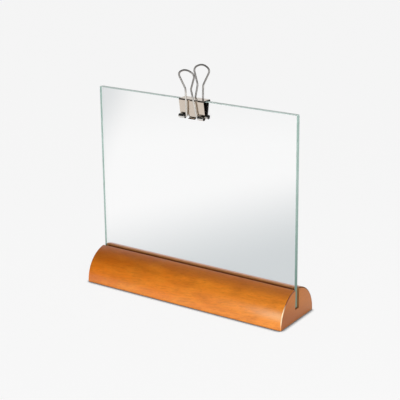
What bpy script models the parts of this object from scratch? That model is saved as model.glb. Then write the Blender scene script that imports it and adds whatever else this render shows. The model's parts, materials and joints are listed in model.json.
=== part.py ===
# Table-top photo holder: a slotted half-round bar of wood, a glass pane that stands in the slot,
# and a foldback clip with two wire handles on the middle of the pane's top edge.
# Metres, +Z up, front towards -Y. The origin is the middle of the bar's underside.

import math

import bmesh
import bpy
from mathutils import Vector

# Glass pane, a 6 x 5 inch plate of 1/8 inch float glass
PANE_WIDTH = 0.1524
PANE_HEIGHT = 0.127
PANE_THICKNESS = 0.0032
PANE_ARRIS = 0.0003            # seamed edges all round

# Wooden bar
BAR_DEPTH = 0.0415
BAR_FOOT = 0.0012              # upright edge between the underside and the round
BAR_OVERHANG = 0.0008          # the bar runs past the pane at each end
BAR_FOOT_EASE = 0.0008         # rounding along the underside's long edges
BAR_END_EASE = 0.0007          # rounding round both end faces
BAR_ARC_STEPS = 28
BAR_EASE_STEPS = 3
SLOT_FLOOR = 0.008             # height of the slot's floor above the table
SLOT_SIDE_CLEARANCE = 0.0008   # air between the glass and each slot wall
SLOT_EDGE_RADIUS = 0.0008      # eased top edges of the slot
SLOT_EDGE_STEPS = 5
EASE_SHARE = 0.9               # an eased edge takes at most this share of the wall or round beside it

# Resting pieces keep this gap to what carries them
SEAT_GAP = 0.0003

# Meshes
SMOOTH_ANGLE = math.radians(35)   # edges that turn further stay sharp
SAME_PLACE = 0.000001

# Clip body, one folded sheet
CLIP_WIDTH = 0.01905           # 3/4 inch clip
SHEET = 0.00035
SPINE_SIDE_ROOM = 0.00205      # from the glass to the inside of each face at the spine
FOLD_RADIUS = 0.00085          # outside of the fold between the spine and a face
FOLD_STEPS = 5
LIP_DROP = 0.0115              # from the top of the spine down to the lips' axes
LIP_WRAP = math.radians(290)   # how far the two end tubes are rolled
LIP_STEPS = 9
TAB_WRAP = math.radians(130)   # how far the middle tab is rolled
TAB_STEPS = 8
NOTCH_CLEARANCE = 0.0009       # beside each wire leg in its notch, towards the tab
NOTCH_RISE = 0.0009            # top of the notches above the lips' axes

# Wire handles, sizes on the wire's centre line before its corners are rounded
WIRE = 0.0012
WIRE_CLEARANCE = 0.0005        # round the wire inside its rolled tube
FOOT_HALF = 0.004              # from the middle to each leg, at the lip
FOOT_RECESS = 0.0009           # the wire ends this far inside the tube's mouth
NECK_HALF = 0.0021             # from the middle to each leg, at the neck
LEG_LENGTH = 0.0195            # from the lip's axis up to the neck
FLARE_LENGTH = 0.0104          # from the neck up to the shoulders
SHOULDER_HALF = 0.0065
CROWN_RISE = 0.0034            # from the shoulders up to the crown
FOOT_BEND = 0.0009
NECK_BEND = 0.004
SHOULDER_BEND = 0.003
CROWN_BEND = 0.007
BEND_STEPS = 6
HANDLE_AJAR = math.radians(2.4)   # each handle stands this far off the fold that stops it

# Worked out from the sizes above
BAR_LENGTH = PANE_WIDTH + 2 * BAR_OVERHANG
BAR_RADIUS = BAR_DEPTH / 2
FOOT_EASE = min(BAR_FOOT_EASE, EASE_SHARE * BAR_FOOT)
END_EASE = min(BAR_END_EASE, EASE_SHARE * FOOT_EASE, EASE_SHARE * SLOT_EDGE_RADIUS)
SLOT_HALF = PANE_THICKNESS / 2 + SLOT_SIDE_CLEARANCE
PANE_BOTTOM = SLOT_FLOOR + SEAT_GAP
TUBE_BORE_RADIUS = WIRE / 2 + WIRE_CLEARANCE
TUBE_MID_RADIUS = TUBE_BORE_RADIUS + SHEET / 2
FOLD_MID_RADIUS = FOLD_RADIUS - SHEET / 2
SPINE_TOP = SEAT_GAP + SHEET                       # above the pane's top edge
SPINE_HALF = PANE_THICKNESS / 2 + SPINE_SIDE_ROOM + SHEET
LIP_OUT = PANE_THICKNESS / 2 + SEAT_GAP + TUBE_BORE_RADIUS + SHEET
LIP_UP = SPINE_TOP - LIP_DROP                      # the lips' axes, from the pane's top edge
TUBE_START = FOOT_HALF + FOOT_BEND                 # the tubes begin where the wire's bend ends
TAB_HALF = FOOT_HALF - WIRE / 2 - NOTCH_CLEARANCE
FOLD_OUT = SPINE_HALF - FOLD_RADIUS
FOLD_UP = SPINE_TOP - FOLD_RADIUS


def clear_scene():
    for old in list(bpy.data.objects):
        bpy.data.objects.remove(old, do_unlink=True)


def make_material(name, colour, roughness, metallic=0.0, transmission=0.0):
    material = bpy.data.materials.new(name)
    material.use_nodes = True
    shader = material.node_tree.nodes["Principled BSDF"]
    shader.inputs["Base Color"].default_value = (*colour, 1.0)
    shader.inputs["Roughness"].default_value = roughness
    shader.inputs["Metallic"].default_value = metallic
    shader.inputs["Transmission Weight"].default_value = transmission
    return material


def add_object(name, data, material, parent=None, location=(0, 0, 0), rotation=(0, 0, 0)):
    piece = bpy.data.objects.new(name, data)
    bpy.context.scene.collection.objects.link(piece)
    piece.data.materials.append(material)
    piece.parent = parent
    piece.location = location
    piece.rotation_euler = rotation
    return piece


def mesh_from(bm, name):
    bmesh.ops.recalc_face_normals(bm, faces=bm.faces)
    mesh = bpy.data.meshes.new(name)
    bm.to_mesh(mesh)
    bm.free()
    mesh.shade_smooth()
    mesh.set_sharp_from_angle(angle=SMOOTH_ANGLE)
    return mesh


def arc(centre, radius, start, end, steps):
    # Points on a circle in the (out, up) plane, both ends included
    points = []
    for step in range(steps + 1):
        angle = start + (end - start) * step / steps
        points.append((centre[0] + radius * math.cos(angle), centre[1] + radius * math.sin(angle)))
    return points


def bar_half_section():
    # From the underside's corner round to the slot's floor, as (out, up) points
    edge_out = SLOT_HALF + SLOT_EDGE_RADIUS
    edge_reach = BAR_RADIUS - SLOT_EDGE_RADIUS
    edge_up = math.sqrt(edge_reach ** 2 - edge_out ** 2)
    turn = math.atan2(edge_up, edge_out)
    crown = arc((0, BAR_FOOT), BAR_RADIUS, 0, turn, BAR_ARC_STEPS)
    slot_edge = arc((edge_out, BAR_FOOT + edge_up), SLOT_EDGE_RADIUS, turn, math.pi, SLOT_EDGE_STEPS)
    foot_centre = (BAR_RADIUS - FOOT_EASE, FOOT_EASE)
    foot_edge = arc(foot_centre, FOOT_EASE, -math.pi / 2, 0, BAR_EASE_STEPS)
    return foot_edge + crown + slot_edge[1:] + [(SLOT_HALF, SLOT_FLOOR)]


def make_bar(material):
    half = bar_half_section()
    section = half + [(-out, up) for out, up in reversed(half)]
    bm = bmesh.new()
    corners = [bm.verts.new((-BAR_LENGTH / 2, out, up)) for out, up in section]
    end_face = bm.faces.new(corners)
    sweep = bmesh.ops.extrude_face_region(bm, geom=[end_face])
    moved = [item for item in sweep["geom"] if isinstance(item, bmesh.types.BMVert)]
    bmesh.ops.translate(bm, verts=moved, vec=(BAR_LENGTH, 0, 0))
    rims = [edge for edge in bm.edges if abs(edge.verts[0].co.x - edge.verts[1].co.x) < SAME_PLACE]
    bmesh.ops.bevel(bm, geom=rims, offset=END_EASE, segments=BAR_EASE_STEPS, profile=0.5, affect="EDGES")
    return add_object("wood_base", mesh_from(bm, "wood_base"), material)


def make_pane(material, bar):
    bm = bmesh.new()
    bmesh.ops.create_cube(bm, size=1)
    bmesh.ops.scale(bm, verts=bm.verts, vec=(PANE_WIDTH, PANE_THICKNESS, PANE_HEIGHT))
    bmesh.ops.translate(bm, verts=bm.verts, vec=(0, 0, PANE_HEIGHT / 2))
    bmesh.ops.bevel(bm, geom=bm.edges, offset=PANE_ARRIS, segments=1, profile=0.5, affect="EDGES")
    mesh = mesh_from(bm, "glass_pane")
    return add_object("glass_pane", mesh, material, parent=bar, location=(0, 0, PANE_BOTTOM))


def lean_clear_of_fold(distance):
    # Lean from upright of a line from a lip's axis that passes the fold's centre at this distance
    across = FOLD_OUT - LIP_OUT
    rise = FOLD_UP - LIP_UP
    return math.atan2(across, rise) + math.asin(distance / math.hypot(across, rise))


def clip_half_section():
    # The sheet's middle line from the lip's free end up to the fold, with each stretch's kind
    lean = lean_clear_of_fold(TUBE_MID_RADIUS + FOLD_MID_RADIUS)
    lip = (LIP_OUT, LIP_UP)
    leave = math.pi - lean
    curl = arc(lip, TUBE_MID_RADIUS, leave + LIP_WRAP, leave + TAB_WRAP, LIP_STEPS)
    hook = arc(lip, TUBE_MID_RADIUS, leave + TAB_WRAP, leave, TAB_STEPS)
    root = hook[-1]
    notch_up = LIP_UP + NOTCH_RISE
    notch = (root[0] + (notch_up - root[1]) * math.tan(lean), notch_up)
    fold = arc((FOLD_OUT, FOLD_UP), FOLD_MID_RADIUS, -lean, math.pi / 2, FOLD_STEPS)
    points = curl + hook[1:] + [notch] + fold
    kinds = ["curl"] * LIP_STEPS + ["hook"] * (TAB_STEPS + 1) + ["face"] * (FOLD_STEPS + 1)
    return points, kinds


def make_clip_body(material, pane):
    half, kinds = clip_half_section()
    section = [(-out, up) for out, up in half] + list(reversed(half))
    stretches = kinds + ["face"] + list(reversed(kinds))
    stations = [-CLIP_WIDTH / 2, -TUBE_START, -TAB_HALF, TAB_HALF, TUBE_START, CLIP_WIDTH / 2]
    tube = ("curl", "hook", "face")
    notch = ("face",)
    tab = ("hook", "face")
    strips = [tube, notch, tab, notch, tube]
    bm = bmesh.new()
    rows = [[bm.verts.new((x, out, up)) for out, up in section] for x in stations]
    for left, right, kept in zip(rows, rows[1:], strips):
        for index, stretch in enumerate(stretches):
            if stretch in kept:
                bm.faces.new((left[index], right[index], right[index + 1], left[index + 1]))
    loose = [vert for vert in bm.verts if not vert.link_faces]
    bmesh.ops.delete(bm, geom=loose, context="VERTS")
    mesh = mesh_from(bm, "clip_body")
    body = add_object("clip_body", mesh, material, parent=pane, location=(0, 0, PANE_HEIGHT))
    wall = body.modifiers.new("Sheet", "SOLIDIFY")
    wall.thickness = SHEET
    wall.offset = 0
    wall.use_even_offset = True
    return body


def rounded_path(corners, steps):
    # Straight runs between the corners, each inner corner turned on an arc of its own radius
    path = [corners[0][0]]
    for (before, _), (corner, radius), (after, _) in zip(corners, corners[1:], corners[2:]):
        towards = (before - corner).normalized()
        onwards = (after - corner).normalized()
        half_turn = (math.pi - towards.angle(onwards)) / 2
        room = min((before - corner).length, (after - corner).length) / 2
        bend = min(radius, room / math.tan(half_turn))
        centre = corner + (towards + onwards).normalized() * bend / math.cos(half_turn)
        start = corner + towards * bend * math.tan(half_turn) - centre
        end = corner + onwards * bend * math.tan(half_turn) - centre
        for step in range(steps + 1):
            path.append(centre + bend * start.slerp(end, step / steps))
    path.append(corners[-1][0])
    return path


def handle_corners():
    # The wire's corners in its own plane: x across, z up from the lip's axis
    foot_end = CLIP_WIDTH / 2 - FOOT_RECESS
    shoulder_up = LEG_LENGTH + FLARE_LENGTH
    side = [
        (Vector((foot_end, 0, 0)), 0),
        (Vector((FOOT_HALF, 0, 0)), FOOT_BEND),
        (Vector((NECK_HALF, 0, LEG_LENGTH)), NECK_BEND),
        (Vector((SHOULDER_HALF, 0, shoulder_up)), SHOULDER_BEND),
    ]
    crown = (Vector((0, 0, shoulder_up + CROWN_RISE)), CROWN_BEND)
    mirrored = [(Vector((-point.x, 0, point.z)), radius) for point, radius in reversed(side)]
    return side + [crown] + mirrored


def make_handle(name, side, lean, material, clip):
    # The side is -1 in front of the glass and 1 behind it; the origin lies on the hinge axis
    path = rounded_path(handle_corners(), BEND_STEPS)
    curve = bpy.data.curves.new(name, "CURVE")
    curve.dimensions = "3D"
    curve.bevel_depth = WIRE / 2
    curve.bevel_resolution = 2
    curve.use_fill_caps = True
    spline = curve.splines.new("POLY")
    spline.points.add(len(path) - 1)
    for point, place in zip(spline.points, path):
        point.co = (*place, 1)
    hinge = (0, side * LIP_OUT, LIP_UP)
    return add_object(name, curve, material, parent=clip, location=hinge, rotation=(-side * lean, 0, 0))


def main():
    clear_scene()
    wood = make_material("Lacquered wood", (0.46, 0.19, 0.045), 0.32)
    glass = make_material("Float glass", (0.9, 0.96, 0.94), 0.02, transmission=1.0)
    nickel = make_material("Nickel plated steel", (0.72, 0.69, 0.65), 0.18, metallic=1.0)
    bar = make_bar(wood)
    pane = make_pane(glass, bar)
    clip = make_clip_body(nickel, pane)
    lean = lean_clear_of_fold(FOLD_RADIUS + SEAT_GAP + WIRE / 2) + HANDLE_AJAR
    make_handle("clip_handle_front", -1, lean, nickel, clip)
    make_handle("clip_handle_rear", 1, lean, nickel, clip)
    bpy.context.view_layer.update()


main()
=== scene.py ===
# Looks of a table-top photo holder: slotted wooden bar, glass pane, foldback clip with two wire handles
import json
import math

import bmesh
import bpy
from mathutils import Matrix, Vector


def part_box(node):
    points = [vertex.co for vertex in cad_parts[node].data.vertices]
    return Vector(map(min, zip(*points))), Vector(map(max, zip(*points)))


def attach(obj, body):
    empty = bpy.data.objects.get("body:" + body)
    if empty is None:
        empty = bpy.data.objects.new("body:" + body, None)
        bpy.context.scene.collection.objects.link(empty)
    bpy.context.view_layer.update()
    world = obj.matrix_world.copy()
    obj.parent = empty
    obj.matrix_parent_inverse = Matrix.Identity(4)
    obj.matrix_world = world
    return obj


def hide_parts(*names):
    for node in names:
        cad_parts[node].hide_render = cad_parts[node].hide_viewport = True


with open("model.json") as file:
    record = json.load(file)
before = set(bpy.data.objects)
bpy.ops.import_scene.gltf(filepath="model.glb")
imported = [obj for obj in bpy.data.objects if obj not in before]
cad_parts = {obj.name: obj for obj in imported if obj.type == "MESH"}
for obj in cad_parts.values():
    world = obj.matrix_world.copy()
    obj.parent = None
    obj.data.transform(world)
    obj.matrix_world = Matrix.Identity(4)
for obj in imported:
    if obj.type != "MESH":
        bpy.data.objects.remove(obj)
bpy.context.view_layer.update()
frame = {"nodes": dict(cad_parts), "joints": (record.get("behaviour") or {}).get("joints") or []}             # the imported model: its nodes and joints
print("frame loaded:", ", ".join(sorted(frame["nodes"])))

mergeDistance = 0.000001      # m, vertices closer than this are one
waveBand = 0.314              # how wide one band of a wave texture is at scale 1


def metres(mm):
    return mm / 1000


def hexColour(code):
    # sRGB hex to the linear values that the nodes take
    channels = [int(code[place:place + 2], 16) / 255 for place in (1, 3, 5)]
    linear = [c / 12.92 if c <= 0.04045 else ((c + 0.055) / 1.055) ** 2.4 for c in channels]
    return (*linear, 1.0)


def addNode(tree, kind, inputs=None, **settings):
    # Each input takes a plain value, or another node's output to link
    node = tree.nodes.new(kind)
    for name, value in settings.items():
        setattr(node, name, value)
    for socket, value in (inputs or {}).items():
        if isinstance(value, bpy.types.NodeSocket):
            tree.links.new(value, node.inputs[socket])
        else:
            node.inputs[socket].default_value = value
    return node


def newMaterial(name, plain):
    # A material with its shader's plain values, which are the same all over the surface
    material = bpy.data.materials.new(name)
    material.use_nodes = True
    tree = material.node_tree
    shader = tree.nodes["Principled BSDF"]
    for socket, value in plain.items():
        shader.inputs[socket].default_value = value
    return material, tree, shader


def perMillimetre(*sizes):
    # Mapping scale that makes one unit of a pattern as long as these sizes in mm
    return [1 / metres(size) for size in sizes]


def spinOn(bm, parts, centre, axis, angle, steps):
    # Turns vertices or edges round an axis and gives back their last copies
    turned = bmesh.ops.spin(bm, geom=parts, cent=centre, axis=axis, angle=angle, steps=steps)
    return [item for item in turned["geom_last"] if isinstance(item, type(parts[0]))]


def drawTo(bm, tip, goal):
    # Draws an edge from the last vertex to a new one
    grown = bmesh.ops.extrude_vert_indiv(bm, verts=tip)["verts"]
    grown[0].co = goal
    return grown


def sweepBy(bm, edges, step):
    # Extrudes edges by a step and gives back the moved ones
    grown = bmesh.ops.extrude_edge_only(bm, edges=edges)["geom"]
    moved = [item for item in grown if isinstance(item, bmesh.types.BMVert)]
    bmesh.ops.translate(bm, verts=moved, vec=step)
    return [item for item in grown if isinstance(item, bmesh.types.BMEdge) and set(item.verts) <= set(moved)]


def mirrorAcross(bm, axis):
    everything = bm.verts[:] + bm.edges[:] + bm.faces[:]
    bmesh.ops.mirror(bm, geom=everything, axis=axis, merge_dist=mergeDistance)
    bmesh.ops.remove_doubles(bm, verts=bm.verts, dist=mergeDistance)


def finishMesh(bm, name, materials, sharp=35):
    # Edges that turn by more than sharp degrees stay crisp
    mesh = bpy.data.meshes.new(name)
    bm.to_mesh(mesh)
    bm.free()
    for material in materials:
        mesh.materials.append(material)
    mesh.shade_smooth()
    mesh.set_sharp_from_angle(angle=math.radians(sharp))
    piece = bpy.data.objects.new(name, mesh)
    bpy.context.scene.collection.objects.link(piece)
    return piece


# Camera at the photograph's viewing angle, places in m and angles in degrees
cameraView = {
    "lens": 106.4,                # mm on a 36 mm sensor
    "rise": -0.1,                 # shift that straightens the pane's upright edges a little
    "yaw": 33.93,                 # round to the right of the front
    "pitch": 16.53,               # down
    "roll": -0.63,
    "distance": 0.7379,
    "aside": 0.0031,
    "height": 0.3138,
    "nearest": 0.01,
}


def makeCamera():
    c = cameraView
    yaw, pitch, roll = [math.radians(c[name]) for name in ("yaw", "pitch", "roll")]
    level = Vector((-math.sin(yaw), math.cos(yaw), 0))
    right = Vector((math.cos(yaw), math.sin(yaw), 0))
    place = -level * c["distance"] + right * c["aside"] + Vector((0, 0, c["height"]))
    data = bpy.data.cameras.new("Camera")
    data.lens = c["lens"]
    data.shift_y = c["rise"]
    data.clip_start = c["nearest"]
    camera = bpy.data.objects.new("Camera", data)
    bpy.context.scene.collection.objects.link(camera)
    tilt = Matrix.Rotation(math.radians(90) - pitch, 4, "X")
    turn = Matrix.Rotation(yaw, 4, "Z") @ tilt @ Matrix.Rotation(roll, 4, "Z")
    camera.matrix_world = Matrix.Translation(place) @ turn
    bpy.context.scene.camera = camera
    print("camera placed")


makeCamera()

# Wooden bar: beech, stained honey brown and sprayed with semi-gloss lacquer; sizes, heights and depths in mm.
# Where a colour goes by a height or a noise, it starts at "from", is whole at "to" and then counts "most"
woodBar = {
    "shape": {
        "length": 154,
        "depth": 41.5,
        "foot": 1.2,              # upright edge under the round
        "footEase": 0.8,
        "endEase": 0.7,
        "slotWidth": 4.8,
        "slotFloor": 8,
        "slotEase": 0.8,          # radius of the slot's top edges
    },
    "roundSteps": 72,
    "easeSteps": 6,
    "endSteps": 4,
    "sides": {
        "left": "#E87C0A",        # the stain took darker and redder towards the left end
        "right": "#F08E2A",
        "dark": "#A04A08",
        "light": "#F5982A",
        "slant": 7,               # degrees, how far the grain rises towards the right
        "patterns": {
            # The slow change of the stain, darker patches where the grain dips, faint streaks of the growth
            # rings, flecks, really 1 to 2 mm but drawn longer so that they show, and open pores
            "cloud": {"long": 14, "wide": 6, "detail": 2, "from": 0.4, "to": 0.75, "most": 0.6},
            "figure": {"long": 24, "wide": 9, "detail": 3, "from": 0.5, "to": 0.72, "most": 0.36},
            "grain": {"long": 8, "wide": 1.1, "detail": 4, "from": 0.48, "to": 0.75, "most": 0.3},
            "fleck": {"long": 2.6, "wide": 0.6, "detail": 1, "from": 0.52, "to": 0.75, "most": 0.25},
            "pore": {"long": 2.2, "wide": 0.25, "detail": 2},
        },
        "softness": 0.55,         # of those patterns
        "poreDepth": 0.03,
        "poreBump": 0.12,
        "ridge": {"from": 17, "to": 20, "most": 0.45},          # painted shade: darker high up along the slot
        "highLeft": {"from": 11, "to": 17, "most": 0.57},       # and, also painted shade, from lower down towards the left end
        # painted sheen: a paler patch low on the front near the right end
        "paintedSheen": {"from": 45, "to": 75, "most": 0.34, "height": 9, "reach": 4.5, "colour": "#FAD29A"},
        "plain": {"Roughness": 0.55, "Specular IOR Level": 0.1, "Coat Weight": 1.0, "Coat Roughness": 0.32},
    },
    "ends": {
        "colour": "#C67428",
        "dark": "#9A5220",
        "heart": (20, -70),       # the tree's heart, towards the back and down from the bar's foot
        "rings": {"spacing": 3.4, "wander": 1.5, "detail": 3, "fine": 0.6,
                  "from": 0.3, "to": 1.0, "most": 0.12},
        "pores": {"size": 1, "detail": 3, "softness": 0.6, "from": 0.5, "to": 0.75, "most": 0.4},
        "poreDepth": 0.05,
        "poreBump": 0.2,
        "low": {"from": 14, "to": 2, "most": 0.7},              # painted shade, darker towards the table
        "lowLean": 0.35,          # and somewhat higher up at the front
        "plain": {"Roughness": 0.5, "Specular IOR Level": 0.15, "Coat Weight": 0.4, "Coat Roughness": 0.4},
    },
    "frontEdge": {
        # pale: painted highlight over some worn stain
        "pale": "#FFE2B4",
        "dark": "#8A4410",
        "high": {"from": 12, "to": 16},
        "low": {"from": 6, "to": 2},
        "plain": {"Roughness": 0.4, "Coat Weight": 1.0, "Coat Roughness": 0.15},
    },
    "rearEdge": {
        "colour": "#7A5028",
        "dark": "#5E3A18",
        "fibre": 2,
        "detail": 3,
        "plain": {"Roughness": 0.7, "Specular IOR Level": 0.1},
    },
    "sawCut": {
        # dark: stain soaked into the cut, and painted shade deep in the slot
        "colour": "#7A4218",
        "dark": "#643210",
        "marks": {"spacing": 0.8, "wander": 1.0, "detail": 2},      # of the saw's teeth
        "markDepth": 0.1,
        "markBump": 0.3,
        "top": {"colour": "#B07A4E", "from": 20.6, "to": 21.5},     # painted highlight along the slot's top edges
        "end": {"colour": "#96663C", "from": 2.5, "to": 1},         # painted light in from the end, where light reaches into the slot
        "plain": {"Roughness": 0.85, "Specular IOR Level": 0.15},
    },
}


def stainedBeech():
    # Honey brown with slow clouds, faint long streaks and short dark flecks, glossy but not mirror-like
    f = woodBar["sides"]
    material, tree, shader = newMaterial("Stained beech under semi-gloss lacquer", f["plain"])
    spot = addNode(tree, "ShaderNodeTexCoord").outputs["Object"]
    place = addNode(tree, "ShaderNodeSeparateXYZ", {"Vector": spot}).outputs
    patterns = {}
    for name, p in f["patterns"].items():
        fitted = addNode(tree, "ShaderNodeMapping", {
            "Vector": spot, "Scale": [metres(p["long"]), metres(p["wide"]), metres(p["wide"])],
            "Rotation": (0, -math.radians(f["slant"]), 0)}, vector_type="TEXTURE")
        noise = addNode(tree, "ShaderNodeTexNoise", {
            "Vector": fitted.outputs["Vector"], "Scale": 1.0, "Detail": p["detail"],
            "Roughness": f["softness"]})
        patterns[name] = noise.outputs["Fac"]
        if "most" in p:
            share = addNode(tree, "ShaderNodeMapRange", {
                "Value": noise.outputs["Fac"], "From Min": p["from"], "From Max": p["to"],
                "To Max": p["most"]})
            patterns[name] = share.outputs["Result"]
    # High up the bar is darkened: painted shade, reaching lower towards the left end
    heights = []
    for p in (f["ridge"], f["highLeft"]):
        share = addNode(tree, "ShaderNodeMapRange", {
            "Value": place["Z"], "From Min": metres(p["from"]), "From Max": metres(p["to"]),
            "To Max": p["most"]})
        heights.append(share.outputs["Result"])
    halfLength = metres(woodBar["shape"]["length"]) / 2
    leftHigh = addNode(tree, "ShaderNodeMapRange", {
        "Value": place["X"], "From Min": -halfLength, "From Max": 0.0, "To Min": heights[1], "To Max": 0.0})
    paintedTopShade = addNode(tree, "ShaderNodeMath", {0: heights[0], 1: leftHigh.outputs["Result"]},
                     operation="MAXIMUM")
    # Near the right end a paler patch low on the front: painted sheen of the lacquer
    p = f["paintedSheen"]
    nearEnd = addNode(tree, "ShaderNodeMapRange", {
        "Value": place["X"], "From Min": metres(p["from"]), "From Max": metres(p["to"]), "To Max": p["most"]},
        interpolation_type="SMOOTHSTEP")
    off = addNode(tree, "ShaderNodeMath", {0: place["Z"], 1: metres(p["height"])}, operation="SUBTRACT")
    away = addNode(tree, "ShaderNodeMath", {0: off.outputs["Value"]}, operation="ABSOLUTE")
    paintedSheen = addNode(tree, "ShaderNodeMapRange", {
        "Value": away.outputs["Value"], "From Min": metres(p["reach"]), "From Max": 0.0,
        "To Max": nearEnd.outputs["Result"]}, interpolation_type="SMOOTHSTEP")
    # The colours lie over each other in this order
    rightwards = addNode(tree, "ShaderNodeMapRange", {
        "Value": place["X"], "From Min": -halfLength, "From Max": halfLength})
    tone = hexColour(f["left"])
    for share, colour in ((rightwards.outputs["Result"], f["right"]), (patterns["cloud"], f["light"]),
                          (paintedTopShade.outputs["Value"], f["dark"]), (patterns["figure"], f["dark"]),
                          (patterns["grain"], f["dark"]), (patterns["fleck"], f["dark"]),
                          (paintedSheen.outputs["Result"], p["colour"])):
        layer = addNode(tree, "ShaderNodeMix", {"Factor": share, "A": tone, "B": hexColour(colour)},
                        data_type="RGBA")
        tone = layer.outputs[2]
    tree.links.new(tone, shader.inputs["Base Color"])
    bump = addNode(tree, "ShaderNodeBump", {
        "Height": patterns["pore"], "Strength": f["poreBump"], "Distance": metres(f["poreDepth"])})
    tree.links.new(bump.outputs["Normal"], shader.inputs["Normal"])
    return material


def beechEndGrain():
    # End faces drink more stain and hardly shine: duller, redder, with thin rings and tiny pores, and painted
    # shade towards the table
    f = woodBar["ends"]
    material, tree, shader = newMaterial("Stained beech end grain", f["plain"])
    spot = addNode(tree, "ShaderNodeTexCoord").outputs["Object"]
    back, up = f["heart"]
    heart = addNode(tree, "ShaderNodeMapping", {"Vector": spot, "Location": (0, -metres(back), -metres(up))})
    p = f["rings"]
    rings = addNode(tree, "ShaderNodeTexWave", {
        "Vector": heart.outputs["Vector"], "Scale": waveBand / metres(p["spacing"]), "Distortion": p["wander"],
        "Detail": p["detail"], "Detail Scale": p["fine"]},
        wave_type="RINGS", rings_direction="X", wave_profile="SAW")
    p = f["pores"]
    fitted = addNode(tree, "ShaderNodeMapping", {
        "Vector": spot, "Scale": perMillimetre(p["size"], p["size"], p["size"])})
    pores = addNode(tree, "ShaderNodeTexNoise", {
        "Vector": fitted.outputs["Vector"], "Scale": 1.0, "Detail": p["detail"], "Roughness": p["softness"]})
    # painted shade: darker towards the table, reaching higher up at the front
    height = addNode(tree, "ShaderNodeVectorMath", {0: spot, 1: (0, f["lowLean"], 1)},
                     operation="DOT_PRODUCT")
    tone = hexColour(f["colour"])
    for value, p, unit in ((rings.outputs["Fac"], f["rings"], 1), (pores.outputs["Fac"], f["pores"], 1),
                           (height.outputs["Value"], f["low"], metres(1))):
        share = addNode(tree, "ShaderNodeMapRange", {
            "Value": value, "From Min": p["from"] * unit, "From Max": p["to"] * unit, "To Max": p["most"]})
        layer = addNode(tree, "ShaderNodeMix", {
            "Factor": share.outputs["Result"], "A": tone, "B": hexColour(f["dark"])}, data_type="RGBA")
        tone = layer.outputs[2]
    tree.links.new(tone, shader.inputs["Base Color"])
    bump = addNode(tree, "ShaderNodeBump", {
        "Height": pores.outputs["Fac"], "Strength": f["poreBump"], "Distance": metres(f["poreDepth"])})
    tree.links.new(bump.outputs["Normal"], shader.inputs["Normal"])
    return material


def edgeWithPaintedHighlight():
    # Sanded edges at the ends: pale and shiny low down, a painted highlight over some worn stain, and darker
    # higher up
    f = woodBar["frontEdge"]
    material, tree, shader = newMaterial("Beech edge with painted highlight", f["plain"])
    spot = addNode(tree, "ShaderNodeTexCoord").outputs["Object"]
    place = addNode(tree, "ShaderNodeSeparateXYZ", {"Vector": spot}).outputs
    tone = hexColour(f["pale"])
    for p, colour in ((f["high"], f["dark"]), (f["low"], woodBar["sides"]["right"])):
        share = addNode(tree, "ShaderNodeMapRange", {
            "Value": place["Z"], "From Min": metres(p["from"]), "From Max": metres(p["to"])})
        layer = addNode(tree, "ShaderNodeMix", {
            "Factor": share.outputs["Result"], "A": tone, "B": hexColour(colour)}, data_type="RGBA")
        tone = layer.outputs[2]
    tree.links.new(tone, shader.inputs["Base Color"])
    return material


def stainedEdge():
    # The ends' edges at the back are dark brown, with faint fibres
    f = woodBar["rearEdge"]
    material, tree, shader = newMaterial("Stained beech edge", f["plain"])
    spot = addNode(tree, "ShaderNodeTexCoord").outputs["Object"]
    fibres = addNode(tree, "ShaderNodeTexNoise", {
        "Vector": spot, "Scale": 1 / metres(f["fibre"]), "Detail": f["detail"]})
    tone = addNode(tree, "ShaderNodeMix", {
        "Factor": fibres.outputs["Fac"], "A": hexColour(f["colour"]), "B": hexColour(f["dark"])},
        data_type="RGBA")
    tree.links.new(tone.outputs[2], shader.inputs["Base Color"])
    return material


def sawnBeech():
    # The slot's walls and floor, cut after the bar was shaped: dull and lined by the saw, and dark, partly
    # stain soaked into the cut and partly painted shade
    f = woodBar["sawCut"]
    material, tree, shader = newMaterial("Saw-cut beech", f["plain"])
    spot = addNode(tree, "ShaderNodeTexCoord").outputs["Object"]
    place = addNode(tree, "ShaderNodeSeparateXYZ", {"Vector": spot}).outputs
    p = f["marks"]
    marks = addNode(tree, "ShaderNodeTexWave", {
        "Vector": spot, "Scale": waveBand / metres(p["spacing"]), "Distortion": p["wander"],
        "Detail": p["detail"]}, bands_direction="X")
    high = addNode(tree, "ShaderNodeMapRange", {
        "Value": place["Z"], "From Min": metres(f["top"]["from"]), "From Max": metres(f["top"]["to"])})
    out = addNode(tree, "ShaderNodeMath", {0: place["X"]}, operation="ABSOLUTE")
    halfLength = metres(woodBar["shape"]["length"]) / 2
    atEnd = addNode(tree, "ShaderNodeMapRange", {
        "Value": out.outputs["Value"], "From Min": halfLength - metres(f["end"]["from"]),
        "From Max": halfLength - metres(f["end"]["to"])})
    tone = hexColour(f["colour"])
    for share, colour in ((marks.outputs["Fac"], f["dark"]), (high.outputs["Result"], f["top"]["colour"]),
                          (atEnd.outputs["Result"], f["end"]["colour"])):
        layer = addNode(tree, "ShaderNodeMix", {"Factor": share, "A": tone, "B": hexColour(colour)},
                        data_type="RGBA")
        tone = layer.outputs[2]
    tree.links.new(tone, shader.inputs["Base Color"])
    bump = addNode(tree, "ShaderNodeBump", {
        "Height": marks.outputs["Fac"], "Strength": f["markBump"], "Distance": metres(f["markDepth"])})
    tree.links.new(bump.outputs["Normal"], shader.inputs["Normal"])
    return material


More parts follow.
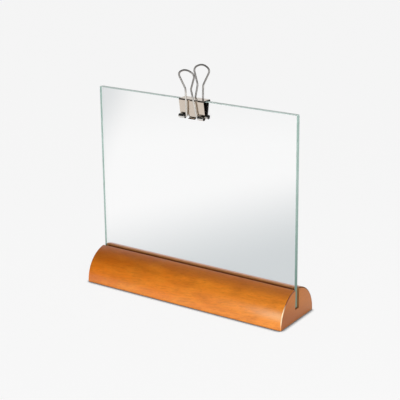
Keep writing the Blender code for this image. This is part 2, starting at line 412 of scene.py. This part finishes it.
def makeWoodBar(sideMaterial, endMaterial, slotMaterial, frontMaterial, rearMaterial):
    w = {name: metres(value) for name, value in woodBar["shape"].items()}
    radius = w["depth"] / 2
    foot = w["foot"]
    slotHalf = w["slotWidth"] / 2
    slotMiddle = w["slotFloor"] / 2
    edgeOut = slotHalf + w["slotEase"]
    edgeUp = math.sqrt((radius - w["slotEase"]) ** 2 - edgeOut ** 2)
    turn = math.atan2(edgeUp, edgeOut)
    start = -w["length"] / 2
    steps = woodBar["easeSteps"]
    bm = bmesh.new()
    # Half the section, drawn from the foot up over the round and down into the slot
    first = bm.verts.new((start, -radius, foot))
    tip = spinOn(bm, [first], (start, 0, foot), (-1, 0, 0), turn, woodBar["roundSteps"])
    tip = spinOn(bm, tip, (start, -edgeOut, foot + edgeUp), (-1, 0, 0), math.pi - turn, steps)
    tip = drawTo(bm, tip, (start, -slotHalf, w["slotFloor"]))
    drawTo(bm, tip, (start, 0, w["slotFloor"]))
    first.co.z = w["footEase"]
    footCentre = (start, w["footEase"] - radius, w["footEase"])
    tip = spinOn(bm, [first], footCentre, (1, 0, 0), math.pi / 2, steps)
    drawTo(bm, tip, (start, 0, 0))
    mirrorAcross(bm, "Y")
    endFace = bmesh.ops.contextual_create(bm, geom=bm.edges[:])["faces"]
    grown = bmesh.ops.extrude_face_region(bm, geom=endFace)["geom"]
    moved = [item for item in grown if isinstance(item, bmesh.types.BMVert)]
    bmesh.ops.translate(bm, verts=moved, vec=(w["length"], 0, 0))
    rims = [edge for edge in bm.edges if abs(edge.verts[0].co.x - edge.verts[1].co.x) < mergeDistance]
    bmesh.ops.bevel(bm, geom=rims, offset=w["endEase"], segments=woodBar["endSteps"], profile=0.5,
                    affect="EDGES", material=-1)
    # The slot was sawn through the eased ends, so its own end edges are put back to crisp ones
    besideMiddle = metres(0.1)
    for vert in bm.verts:
        out = abs(vert.co.y)
        if besideMiddle < out < edgeOut and vert.co.z > slotMiddle:
            arm = Vector((out - edgeOut, max(vert.co.z - foot - edgeUp, 0)))
            vert.co.y = math.copysign(edgeOut + w["slotEase"] * arm.normalized().x, vert.co.y)
        if out < edgeOut and slotMiddle < vert.co.z < w["slotFloor"]:
            vert.co.z = w["slotFloor"]
    bmesh.ops.recalc_face_normals(bm, faces=bm.faces)
    # 1 the end faces, 2 the slot with its eased top edges, 3 and 4 the ends' own edges, front and back
    for face in bm.faces:
        centre = face.calc_center_median()
        inward = -face.normal.y * math.copysign(1, centre.y)
        inSlot = abs(centre.y) < edgeOut and centre.z > slotMiddle
        if abs(face.normal.x) > 0.99:
            face.material_index = 1
        elif inSlot and (inward > 0.2 or centre.z < foot + edgeUp):
            face.material_index = 2
        elif abs(face.normal.x) > 0.3 and centre.z > foot:
            face.material_index = 3 if centre.y < 0 else 4
    materials = [sideMaterial, endMaterial, slotMaterial, frontMaterial, rearMaterial]
    piece = finishMesh(bm, "slotted_wooden_bar", materials)
    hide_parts("wood_base")
    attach(piece, "base")
    print("wooden bar made")


makeWoodBar(stainedBeech(), beechEndGrain(), sawnBeech(), edgeWithPaintedHighlight(), stainedEdge())

# Glass pane: clear float glass with seamed edges; sizes and heights in mm
glassPane = {
    "shape": {
        "width": 152.4,
        "height": 127,
        "thickness": 3.2,
        "arris": 0.3,
        "bottom": 8.3,            # above the table
    },
    "faces": {
        "colour": "#FFFFFF",
        "plain": {"Roughness": 0.0, "IOR": 1.52, "Transmission Weight": 1.0},
    },
    "edges": {
        "colour": "#A8C0B8",
        "green": "#98B6AC",
        "grit": {"size": 6, "detail": 3, "from": 0.35, "to": 0.65},
        "deep": {"colour": "#5E8278", "from": 95, "to": 20},        # downwards along the right edge
        "inSlot": {"colour": "#6F8269", "from": 22, "to": 21},      # painted reflection of the wood, where the edge stands in the slot
        "top": {"colour": "#D8ECE5", "from": 134.6, "to": 135.2},
        "plain": {"Roughness": 0.25, "IOR": 1.52},
    },
}


def floatGlass():
    # Clear to the eye, with the table faintly mirrored in it
    f = glassPane["faces"]
    return newMaterial("Clear float glass", {"Base Color": hexColour(f["colour"]), **f["plain"]})[0]


def groundGlassEdge():
    # The iron in the glass shows along its whole width here: a soft grey green, dulled by the seaming
    f = glassPane["edges"]
    material, tree, shader = newMaterial("Seamed float glass edge", f["plain"])
    spot = addNode(tree, "ShaderNodeTexCoord").outputs["Object"]
    place = addNode(tree, "ShaderNodeSeparateXYZ", {"Vector": spot}).outputs
    p = f["grit"]
    grit = addNode(tree, "ShaderNodeTexNoise", {
        "Vector": spot, "Scale": 1 / metres(p["size"]), "Detail": p["detail"]})
    mottled = addNode(tree, "ShaderNodeMapRange", {
        "Value": grit.outputs["Fac"], "From Min": p["from"], "From Max": p["to"]})
    shares = []
    for p in (f["deep"], f["inSlot"], f["top"]):
        share = addNode(tree, "ShaderNodeMapRange", {
            "Value": place["Z"], "From Min": metres(p["from"]), "From Max": metres(p["to"])})
        shares.append(share.outputs["Result"])
    # inSlot paints the wood's reflection into the edge
    low, inSlot, onTop = shares
    right = addNode(tree, "ShaderNodeMath", {0: place["X"], 1: 0.0}, operation="GREATER_THAN")
    deep = addNode(tree, "ShaderNodeMath", {0: low, 1: right.outputs["Value"]}, operation="MULTIPLY")
    tone = hexColour(f["colour"])
    for share, colour in ((mottled.outputs["Result"], f["green"]),
                          (deep.outputs["Value"], f["deep"]["colour"]),
                          (inSlot, f["inSlot"]["colour"]), (onTop, f["top"]["colour"])):
        layer = addNode(tree, "ShaderNodeMix", {"Factor": share, "A": tone, "B": hexColour(colour)},
                        data_type="RGBA")
        tone = layer.outputs[2]
    tree.links.new(tone, shader.inputs["Base Color"])
    return material


def makeGlassPane(faceMaterial, edgeMaterial):
    g = {name: metres(value) for name, value in glassPane["shape"].items()}
    bm = bmesh.new()
    bmesh.ops.create_cube(bm, size=1)
    bmesh.ops.scale(bm, verts=bm.verts, vec=(g["width"], g["thickness"], g["height"]))
    bmesh.ops.translate(bm, verts=bm.verts, vec=(0, 0, g["bottom"] + g["height"] / 2))
    bmesh.ops.bevel(bm, geom=bm.edges, offset=g["arris"], segments=1, profile=0.5, affect="EDGES", material=-1)
    for face in bm.faces:
        if abs(face.normal.y) < 0.9:      # all but the two big faces
            face.material_index = 1
    piece = finishMesh(bm, "glass_plate", [faceMaterial, edgeMaterial], sharp=20)
    piece.visible_shadow = False          # light goes through clear glass
    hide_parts("glass_pane")
    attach(piece, "pane")
    print("glass pane made")


makeGlassPane(floatGlass(), groundGlassEdge())

# Clip body: one folded strip of nickel plated spring steel; sizes in mm, angles in degrees.
# Its plating has two tones, and drawing lines of these sizes along x, y and z
clipSheet = {
    "shape": {
        "width": 19.05,
        "sheet": 0.35,
        "spineHalf": 4.0,         # half the clip's depth at its spine
        "foldRadius": 0.85,
        "tubeRadius": 1.275,      # middle line of the rolled tubes
        "tubeStart": 4.9,         # from the middle out to where the tubes begin
        "tabHalf": 2.5,
        "notchRise": 0.9,
        "edgeEase": 0.06,
    },
    "tubeWrap": 290,
    "tabWrap": 130,
    "easeAngle": 50,              # edges sharper than this are eased
    "tubeSteps": 29,
    "foldSteps": 12,
    "easeSteps": 2,
    "face": {"light": "#DACDBF", "dark": "#CFC3B6", "roughness": 0.13, "lines": (0.25, 6, 6)},
    # lighter and cooler than the face's: painted light, a lit copy of the same plating
    "lip": {"light": "#E6E4DF", "dark": "#DAD8D3", "roughness": 0.16, "lines": (6, 0.4, 0.4)},
    # painted shade on the clip's inside and in the tubes, and its bare rims
    "bare": {"colour": "#2E2A27", "plain": {"Metallic": 1.0, "Roughness": 0.45}},
}

nickelHaze = {"from": 0.35, "to": 0.65, "least": 0.7, "most": 1.3}     # how the lines change the roughness


def nickelPlate(name, f, low=None):
    # Nickel over spring steel: a warm grey mirror, softened by the steel's fine drawing lines,
    # and with low given, painted light: that brighter colour near the clip, further up on the left leg
    material, tree, shader = newMaterial(name, {"Metallic": 1.0})
    spot = addNode(tree, "ShaderNodeTexCoord").outputs["Object"]
    fitted = addNode(tree, "ShaderNodeMapping", {"Vector": spot, "Scale": perMillimetre(*f["lines"])})
    lines = addNode(tree, "ShaderNodeTexNoise", {
        "Vector": fitted.outputs["Vector"], "Scale": 1.0, "Detail": 3.0})
    haze = addNode(tree, "ShaderNodeMapRange", {
        "Value": lines.outputs["Fac"], "From Min": nickelHaze["from"], "From Max": nickelHaze["to"],
        "To Min": f["roughness"] * nickelHaze["least"], "To Max": f["roughness"] * nickelHaze["most"]})
    tree.links.new(haze.outputs["Result"], shader.inputs["Roughness"])
    tone = addNode(tree, "ShaderNodeMix", {
        "Factor": lines.outputs["Fac"], "A": hexColour(f["light"]), "B": hexColour(f["dark"])},
        data_type="RGBA")
    # painted light: the legs brighter low down
    if low:
        height = addNode(tree, "ShaderNodeVectorMath", {0: spot, 1: (low["lean"], 0, 1)},
                         operation="DOT_PRODUCT")
        down = addNode(tree, "ShaderNodeMapRange", {
            "Value": height.outputs["Value"], "From Min": metres(low["from"]), "From Max": metres(low["to"])})
        tone = addNode(tree, "ShaderNodeMix", {
            "Factor": down.outputs["Result"], "A": tone.outputs[2], "B": hexColour(low["colour"])},
            data_type="RGBA")
    tree.links.new(tone.outputs[2], shader.inputs["Base Color"])
    return material


def steelRimsAndPaintedShade():
    # Bare sheared edges, and painted shade on the clip's inside and in the tubes, where the steel sees only
    # itself
    f = clipSheet["bare"]
    return newMaterial("Dark sheared steel and painted shade", {"Base Color": hexColour(f["colour"]), **f["plain"]})[0]


def jointPlace(name):
    return Vector(next(joint["pos_m"] for joint in frame["joints"] if joint["name"] == name))


def makeClipBody(faceMaterial, lipMaterial, rimsAndPaintedShade):
    c = {name: metres(value) for name, value in clipSheet["shape"].items()}
    lip = jointPlace("front_handle_swing")
    lip.x = -c["width"] / 2
    foldMid = c["foldRadius"] - c["sheet"] / 2
    foldAt = Vector((lip.x, c["foldRadius"] - c["spineHalf"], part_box("clip_body")[1].z - c["foldRadius"]))
    # A face is the straight run that touches the lip's roll on one side and the fold on the other
    across = lip.y - foldAt.y
    rise = foldAt.z - lip.z
    lean = math.atan2(across, rise) + math.asin((c["tubeRadius"] + foldMid) / math.hypot(across, rise))
    root = Vector((0, math.cos(lean), math.sin(lean)))
    up = Vector((0, -math.sin(lean), math.cos(lean)))
    wrap = math.radians(clipSheet["tubeWrap"])
    bm = bmesh.new()
    # The middle line of the front half, drawn from the lip's free end up to the spine
    free = Matrix.Rotation(-wrap, 4, "X") @ root
    first = bm.verts.new(lip + free * c["tubeRadius"])
    tip = spinOn(bm, [first], lip, (1, 0, 0), wrap, clipSheet["tubeSteps"])
    notchUp = lip.z + c["notchRise"]
    foot = tip[0].co.copy()
    tip = drawTo(bm, tip, foot + up * (notchUp - foot.z) / up.z)
    tip = drawTo(bm, tip, foldAt - root * foldMid)
    tip = spinOn(bm, tip, foldAt, (-1, 0, 0), math.radians(90) + lean, clipSheet["foldSteps"])
    drawTo(bm, tip, (lip.x, 0, tip[0].co.z))
    mirrorAcross(bm, "Y")
    edges = bm.edges[:]
    stations = [lip.x, -c["tubeStart"], -c["tabHalf"], c["tabHalf"], c["tubeStart"], -lip.x]
    for here, there in zip(stations, stations[1:]):
        edges = sweepBy(bm, edges, (there - here, 0, 0))
    # The lips are cut away between the tubes and the middle tab, and the tab is rolled less
    spare = []
    for face in bm.faces:
        centre = face.calc_center_median()
        arm = Vector((0, -abs(centre.y) - lip.y, centre.z - lip.z))
        rolled = arm.length < c["tubeRadius"] * 1.02
        turned = math.degrees(math.atan2(root.z * arm.y - root.y * arm.z, root.dot(arm))) % 360
        if abs(centre.x) < c["tabHalf"]:
            if rolled and turned > clipSheet["tabWrap"]:
                spare.append(face)
        elif abs(centre.x) < c["tubeStart"] and (rolled or centre.z < notchUp):
            spare.append(face)
        if rolled and abs(centre.x) > c["tabHalf"]:
            face.material_index = 3
    bmesh.ops.delete(bm, geom=spare, context="FACES")
    bmesh.ops.recalc_face_normals(bm, faces=bm.faces)
    # Three slots for the flat sheet and three for the lips: the outer side, the other side, the rim.
    # The other side is painted shade on the flat sheet, and outermost on the lips once they are rolled, where
    # the painted-shade side lines the tubes
    flatSlots = [faceMaterial, rimsAndPaintedShade, rimsAndPaintedShade]
    lipSlots = [rimsAndPaintedShade, lipMaterial, rimsAndPaintedShade]
    piece = finishMesh(bm, "clip_sheet", flatSlots + lipSlots)
    wall = piece.modifiers.new("Sheet", "SOLIDIFY")
    wall.material_offset = 1
    wall.material_offset_rim = 2
    wall.thickness = c["sheet"]
    wall.offset = 0
    wall.use_even_offset = True
    eased = piece.modifiers.new("Eased edges", "BEVEL")
    eased.width = c["edgeEase"]
    eased.segments = clipSheet["easeSteps"]
    eased.angle_limit = math.radians(clipSheet["easeAngle"])
    eased.harden_normals = True           # so that the eased edges don't bend the faces' reflections
    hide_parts("clip_body")
    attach(piece, "clip")
    print("clip body made")


faceNickel = nickelPlate("Nickel plated spring steel sheet", clipSheet["face"])
lipNickel = nickelPlate("Nickel plated rolled lips", clipSheet["lip"])
makeClipBody(faceNickel, lipNickel, steelRimsAndPaintedShade())

# Wire handles: the same steel as wire; sizes in mm on its centre line before the corners are rounded
wireHandle = {
    "shape": {
        "wire": 1.2,
        "footHalf": 4.0,
        "footEnd": 8.625,
        "neckHalf": 2.1,
        "neckUp": 19.5,
        "shoulderHalf": 6.5,
        "shoulderUp": 29.9,
        "crownUp": 33.3,
        "footBend": 0.9,
        "neckBend": 4.0,
        "shoulderBend": 3.0,
        "crownBend": 7.0,
    },
    "bendSteps": 14,
    "sides": 20,
    "plating": {"light": "#A09D9A", "dark": "#94918E", "roughness": 0.4, "lines": (3, 3, 3)},
    "paintedLightLow": {"colour": "#DEDAD3", "from": 143, "to": 138, "lean": 0.9},     # painted light on the front one's legs
}


def makeHandle(name, node, joint, body, side, material):
    h = {key: metres(value) for key, value in wireHandle["shape"].items()}
    corners = [
        (Vector((h["footEnd"], 0, 0)), 0),
        (Vector((h["footHalf"], 0, 0)), h["footBend"]),
        (Vector((h["neckHalf"], 0, h["neckUp"])), h["neckBend"]),
        (Vector((h["shoulderHalf"], 0, h["shoulderUp"])), h["shoulderBend"]),
        (Vector((0, 0, h["crownUp"])), h["crownBend"]),
        (Vector((-h["shoulderHalf"], 0, h["shoulderUp"])), 0),
    ]
    bm = bmesh.new()
    here = corners[0][0]
    start = Matrix.Translation(here) @ Matrix.Rotation(math.radians(90), 4, "Y")
    bmesh.ops.create_circle(bm, cap_ends=True, radius=h["wire"] / 2, segments=wireHandle["sides"],
                            matrix=start)
    ring = bm.edges[:]
    for (before, _), (corner, radius), (after, _) in zip(corners, corners[1:], corners[2:]):
        towards = (before - corner).normalized()
        onwards = (after - corner).normalized()
        halfTurn = (math.pi - towards.angle(onwards)) / 2
        room = min((before - corner).length, (after - corner).length) / 2
        bend = min(radius, room / math.tan(halfTurn))
        centre = corner + (towards + onwards).normalized() * bend / math.cos(halfTurn)
        ring = sweepBy(bm, ring, corner + towards * bend * math.tan(halfTurn) - here)
        turn = math.copysign(2 * halfTurn, -towards.cross(onwards).y)
        if corner.x == 0:
            turn = turn / 2               # the crown's other half is the mirror's
        ring = spinOn(bm, ring, centre, (0, 1, 0), turn, wireHandle["bendSteps"])
        here = corner + onwards * bend * math.tan(halfTurn)
    crown = centre.z + bend
    mirrorAcross(bm, "X")
    bmesh.ops.recalc_face_normals(bm, faces=bm.faces)
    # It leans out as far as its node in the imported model
    low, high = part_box(node)
    hinge = jointPlace(joint)
    reach = max(abs(low.y), abs(high.y)) - abs(hinge.y) - h["wire"] / 2
    lean = math.asin(reach / crown)
    placed = Matrix.Translation(hinge) @ Matrix.Rotation(-side * lean, 4, "X")
    bmesh.ops.transform(bm, verts=bm.verts, matrix=placed)
    piece = finishMesh(bm, name, [material], sharp=40)
    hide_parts(node)
    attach(piece, body)
    print(name, "made, leaning", round(math.degrees(lean), 2), "degrees")


wireNickel = nickelPlate("Nickel plated spring steel wire", wireHandle["plating"])
frontNickel = nickelPlate("Nickel plated wire, painted light low down", wireHandle["plating"],
                          wireHandle["paintedLightLow"])
makeHandle("front_wire_handle", "clip_handle_front", "front_handle_swing", "front_handle", -1, frontNickel)
makeHandle("rear_wire_handle", "clip_handle_rear", "rear_handle_swing", "rear_handle", 1, wireNickel)

# Floor and surroundings; sizes and places in m, angles in degrees, and directions as parts of a unit vector
studio = {
    "white": "#F6F6F6",           # the photograph's plain background
    "floorSize": 6.0,
    "floorGlow": 0.967,           # the floor's own brightness, 1 is its white
    "shadowShare": 0.08,          # what the lamps add to it, which the shadow takes away
    "contact": 0.004,             # reach over which the floor darkens towards what stands on it
    "contactOpen": {"from": 0.5, "to": 0.85},     # how open a spot is, from the darkest to the brightest
    "contactGlow": 0.1,
    "tableEnd": {"from": 0.36, "to": 0.585},      # where the bright table ends, in reflections
    "paneGrey": "#C8CDCF",        # the table behind the pane, seen through it
    # It turns grey past a slanting line, and again far off to the left
    "greyLines": [
        {"towards": (0.915, -0.403, 0), "from": -0.2, "to": -0.012, "most": 1.0},
        {"towards": (-0.85, -0.53, 0), "from": 0.084, "to": 0.13, "most": 0.55},
    ],
    "greyEnd": {"from": 1.6, "to": 0.5},          # and the grey fades again far from the object
    "paneLift": 0.04,             # makes up for the light that the pane mirrors away
    "wallTop": 38,                # up to where the wall behind is bright, in reflections
    "wallSoft": 0.15,
    "wallLevel": 0.9,
    "wallBack": {"from": 0.1, "to": 0.5},         # from the sides round to the back
    "bandRise": 56,               # a bright strip above the wall
    "bandHalf": {"from": 0.08, "to": 0.03},
    "bandLevel": 0.35,
    "darkLevel": 0.02,
}

# Brightness 1 is white; turned from the front towards the right, and raised, in degrees; sizes in m
lamps = {
    "Front softbox": {"aside": 13, "rise": 18, "distance": 1.25, "wide": 1.44, "tall": 0.6, "level": 3.6},
    "Right strip": {"aside": 50, "rise": 18, "distance": 0.5, "wide": 0.12, "tall": 0.3, "level": 5.0},
}
lampAim = Vector((0, 0, 0.05))    # what they face


def makeFloor():
    # A plain pale table: it glows by itself, so that it keeps one tone, and the lamps only leave the shadow
    s = studio
    bm = bmesh.new()
    bmesh.ops.create_grid(bm, x_segments=1, y_segments=1, size=s["floorSize"] / 2)
    material = bpy.data.materials.new("Plain pale floor")
    material.use_nodes = True
    tree = material.node_tree
    tree.nodes.clear()
    rays = addNode(tree, "ShaderNodeLightPath").outputs
    spot = addNode(tree, "ShaderNodeTexCoord").outputs["Object"]
    place = addNode(tree, "ShaderNodeSeparateXYZ", {"Vector": spot}).outputs
    # Its grey is seen only through the glass
    shares = []
    for line in s["greyLines"]:
        along = addNode(tree, "ShaderNodeVectorMath", {0: spot, 1: line["towards"]}, operation="DOT_PRODUCT")
        share = addNode(tree, "ShaderNodeMapRange", {
            "Value": along.outputs["Value"], "From Min": line["from"], "From Max": line["to"],
            "To Max": line["most"]}, interpolation_type="SMOOTHSTEP")
        shares.append(share.outputs["Result"])
    either = addNode(tree, "ShaderNodeMath", {0: shares[0], 1: shares[1]}, operation="MAXIMUM")
    reach = addNode(tree, "ShaderNodeVectorMath", {0: spot}, operation="LENGTH")
    close = addNode(tree, "ShaderNodeMapRange", {
        "Value": reach.outputs["Value"], "From Min": s["greyEnd"]["from"], "From Max": s["greyEnd"]["to"]},
        interpolation_type="SMOOTHSTEP")
    greyed = addNode(tree, "ShaderNodeMath", {0: either.outputs["Value"], 1: close.outputs["Result"]},
                     operation="MULTIPLY")
    through = addNode(tree, "ShaderNodeMath", {0: greyed.outputs["Value"], 1: rays["Is Transmission Ray"]},
                      operation="MULTIPLY")
    tint = addNode(tree, "ShaderNodeMix", {
        "Factor": through.outputs["Value"], "A": hexColour(s["white"]), "B": hexColour(s["paneGrey"])},
        data_type="RGBA")
    # It darkens where something stands on it: painted contact shade
    near = addNode(tree, "ShaderNodeAmbientOcclusion", {"Distance": s["contact"]}, samples=8)
    uncovered = addNode(tree, "ShaderNodeMapRange", {
        "Value": near.outputs["AO"], "From Min": s["contactOpen"]["from"], "From Max": s["contactOpen"]["to"],
        "To Min": s["contactGlow"], "To Max": s["floorGlow"]})
    # In reflections it ends in front and at the sides, and goes on at the back
    behind = addNode(tree, "ShaderNodeMath", {0: place["Y"], 1: 0.0}, operation="MINIMUM")
    level = addNode(tree, "ShaderNodeCombineXYZ", {"X": place["X"], "Y": behind.outputs["Value"]})
    away = addNode(tree, "ShaderNodeVectorMath", {0: level.outputs["Vector"]}, operation="LENGTH")
    beyond = addNode(tree, "ShaderNodeMapRange", {
        "Value": away.outputs["Value"], "From Min": s["tableEnd"]["from"], "From Max": s["tableEnd"]["to"],
        "To Max": 1 - s["darkLevel"]}, interpolation_type="SMOOTHSTEP")
    glossy = addNode(tree, "ShaderNodeMath", {0: rays["Is Glossy Ray"], 1: rays["Is Transmission Ray"]},
                     operation="GREATER_THAN")
    mirrored = addNode(tree, "ShaderNodeMath", {0: beyond.outputs["Result"], 1: glossy.outputs["Value"]},
                       operation="MULTIPLY")
    kept = addNode(tree, "ShaderNodeMath", {0: 1.0, 1: mirrored.outputs["Value"]}, operation="SUBTRACT")
    bare = addNode(tree, "ShaderNodeMath", {0: uncovered.outputs["Result"], 1: kept.outputs["Value"]},
                   operation="MULTIPLY")
    lift = addNode(tree, "ShaderNodeMath", {0: rays["Is Transmission Ray"], 1: s["paneLift"], 2: 1.0},
                   operation="MULTIPLY_ADD")
    strength = addNode(tree, "ShaderNodeMath", {0: bare.outputs["Value"], 1: lift.outputs["Value"]},
                       operation="MULTIPLY")
    glow = addNode(tree, "ShaderNodeEmission", {
        "Color": tint.outputs[2], "Strength": strength.outputs["Value"]})
    lit = addNode(tree, "ShaderNodeBsdfDiffuse", {"Color": (s["shadowShare"],) * 3 + (1,)})
    both = addNode(tree, "ShaderNodeAddShader", {0: glow.outputs[0], 1: lit.outputs[0]})
    addNode(tree, "ShaderNodeOutputMaterial", {"Surface": both.outputs[0]})
    floor = finishMesh(bm, "floor", [material])
    print("floor made")


def makeWorld():
    s = studio
    world = bpy.data.worlds.new("Studio")
    world.use_nodes = True
    tree = world.node_tree
    tree.nodes.clear()
    bpy.context.scene.world = world
    direction = addNode(tree, "ShaderNodeTexCoord").outputs["Generated"]
    parts = addNode(tree, "ShaderNodeSeparateXYZ", {"Vector": direction}).outputs
    # A bright wall behind the table, with a strip above it
    top = math.sin(math.radians(s["wallTop"]))
    low = addNode(tree, "ShaderNodeMapRange", {
        "Value": parts["Z"], "From Min": top + s["wallSoft"], "From Max": top, "To Max": s["wallLevel"]},
        interpolation_type="SMOOTHSTEP")
    off = addNode(tree, "ShaderNodeMath", {0: parts["Z"], 1: math.sin(math.radians(s["bandRise"]))},
                  operation="SUBTRACT")
    offBand = addNode(tree, "ShaderNodeMath", {0: off.outputs["Value"]}, operation="ABSOLUTE")
    band = addNode(tree, "ShaderNodeMapRange", {
        "Value": offBand.outputs["Value"], "From Min": s["bandHalf"]["from"], "From Max": s["bandHalf"]["to"],
        "To Max": s["bandLevel"]}, interpolation_type="SMOOTHSTEP")
    bright = addNode(tree, "ShaderNodeMath", {0: low.outputs["Result"], 1: band.outputs["Result"]},
                     operation="MAXIMUM")
    back = addNode(tree, "ShaderNodeMapRange", {
        "Value": parts["Y"], "From Min": s["wallBack"]["from"], "From Max": s["wallBack"]["to"]},
        interpolation_type="SMOOTHSTEP")
    wall = addNode(tree, "ShaderNodeMath", {0: bright.outputs["Value"], 1: back.outputs["Result"]},
                   operation="MULTIPLY")
    level = addNode(tree, "ShaderNodeMath", {0: wall.outputs["Value"], 1: s["darkLevel"]}, operation="MAXIMUM")
    # White to the eye, also through the glass; the rest is for light and reflections only
    rays = addNode(tree, "ShaderNodeLightPath").outputs
    bounces = addNode(tree, "ShaderNodeMath", {0: rays["Diffuse Depth"], 1: rays["Glossy Depth"]},
                      operation="ADD")
    seen = addNode(tree, "ShaderNodeMath", {0: bounces.outputs["Value"], 1: 0.5}, operation="LESS_THAN")
    lift = addNode(tree, "ShaderNodeMath", {0: rays["Is Transmission Ray"], 1: s["paneLift"], 2: 1.0},
                   operation="MULTIPLY_ADD")
    strength = addNode(tree, "ShaderNodeMix", {
        "Factor": seen.outputs["Value"], "A": level.outputs["Value"], "B": lift.outputs["Value"]},
        data_type="FLOAT")
    glow = addNode(tree, "ShaderNodeBackground", {
        "Color": hexColour(s["white"]), "Strength": strength.outputs[0]})
    addNode(tree, "ShaderNodeOutputWorld", {"Surface": glow.outputs[0]})
    print("world made")


def makeLamp(name, place):
    data = bpy.data.lights.new(name, "AREA")
    data.shape = "RECTANGLE"
    data.size = place["wide"]
    data.size_y = place["tall"]
    data.energy = place["level"] * math.pi * place["wide"] * place["tall"]
    lamp = bpy.data.objects.new(name, data)
    lamp.visible_transmission = False     # no white rectangle through the pane from behind
    bpy.context.scene.collection.objects.link(lamp)
    aside, rise = math.radians(place["aside"]), math.radians(place["rise"])
    out = Vector((math.sin(aside) * math.cos(rise), -math.cos(aside) * math.cos(rise), math.sin(rise)))
    aimed = out.to_track_quat("Z", "Y").to_matrix().to_4x4()
    lamp.matrix_world = Matrix.Translation(lampAim + out * place["distance"]) @ aimed


makeFloor()
makeWorld()
for lampName, lampPlace in lamps.items():
    makeLamp(lampName, lampPlace)
print("lamps made")

bpy.context.scene.view_settings.view_transform = "Standard"
